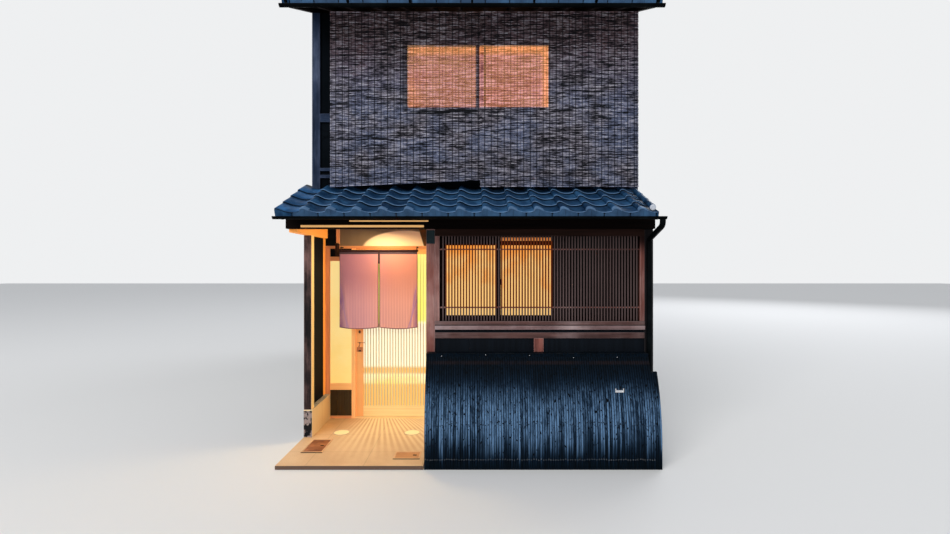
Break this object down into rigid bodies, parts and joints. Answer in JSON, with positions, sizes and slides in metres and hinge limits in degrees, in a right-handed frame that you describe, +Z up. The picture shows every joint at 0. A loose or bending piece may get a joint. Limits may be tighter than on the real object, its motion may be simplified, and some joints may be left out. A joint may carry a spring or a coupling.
{
  "type": "machiya townhouse",
  "caption": "Two-storey timber townhouse with tiled roofs, recessed porch with a sliding door, lattice bay, leaning fence and reed blinds.",
  "frame": {"origin": "on the ground at the middle of the frontage, under the front face of the upper wall", "axes": "+X along the street to the right as seen from it, +Y from the street into the house, +Z up"},
  "size_m": [4.06, 9.81, 7.1996],
  "materials": {
    "mortar": "rough cement mortar, paint peeling",
    "concrete": "trowelled concrete",
    "floor_tile": "unglazed tiles with pale joints",
    "lamp_glass": "frosted, lit",
    "warm_wood": "oiled",
    "red_wood": "stained with red iron oxide, weathered",
    "dark_wood": "smoked, matt",
    "grey_wood": "weathered bare timber",
    "door_wood": "planed, clear",
    "window_wood": "stained dark",
    "plaster": "fine earth plaster",
    "dark_plaster": "rough dark plaster",
    "dark_board": "charred boards",
    "black_lath": "split laths, stained black, weathered",
    "steel_rail": "worn",
    "black_metal": "satin black",
    "dark_metal": "dark brown coating",
    "frosted_glass": "frosted, lit from behind",
    "lit_glass": "frosted, lit from behind",
    "noren_cloth": "thin dyed hemp",
    "reed": "weathered split reed",
    "roof_tile": "smoked clay, semi-matt"
  },
  "bodies": {
    "house": {"foundation": "mortar", "ground_floor": "concrete", "porch_floor": "floor_tile", "floor_lamps": "lamp_glass", "porch_posts": "warm_wood", "porch_side_wall": "plaster", "side_beam": "warm_wood", "bay_posts": "red_wood", "eave_girder": "dark_wood", "porch_ceiling": "dark_wood", "door_frame": "warm_wood", "door_sill": "steel_rail", "transom_panel": "plaster", "dark_boards": "dark_board", "side_light_frame": "warm_wood", "side_light_glass": "frosted_glass", "noren_rod": "dark_wood", "noren": "noren_cloth", "bay_wall": "dark_board", "bay_rail": "red_wood", "window_lattice": "red_wood", "bay_window_frame": "red_wood", "bay_window_glass": "lit_glass", "leaning_fence": "black_lath", "pent_roof": "roof_tile", "gutters": "dark_metal", "downpipes": "dark_metal", "upper_floor": "dark_wood", "upper_timbers": "grey_wood", "front_wall": "dark_plaster", "left_wall": "dark_plaster", "right_wall": "dark_plaster", "rear_wall": "dark_plaster", "window_frames": "window_wood", "window_glass": "lit_glass", "blind_left": "reed", "blind_right": "reed", "roof_front": "roof_tile", "roof_rear": "roof_tile", "ridge": "roof_tile"},
    "entry_door": {"entry_door": "door_wood", "entry_door_glass": "frosted_glass", "entry_door_pull": "black_metal"}
  },
  "joints": [
    {"name": "entry_door_slide", "type": "slide", "parent": "house", "child": "entry_door", "axis": [1, 0, 0], "range_m": [0, 0.95]}
  ]
}
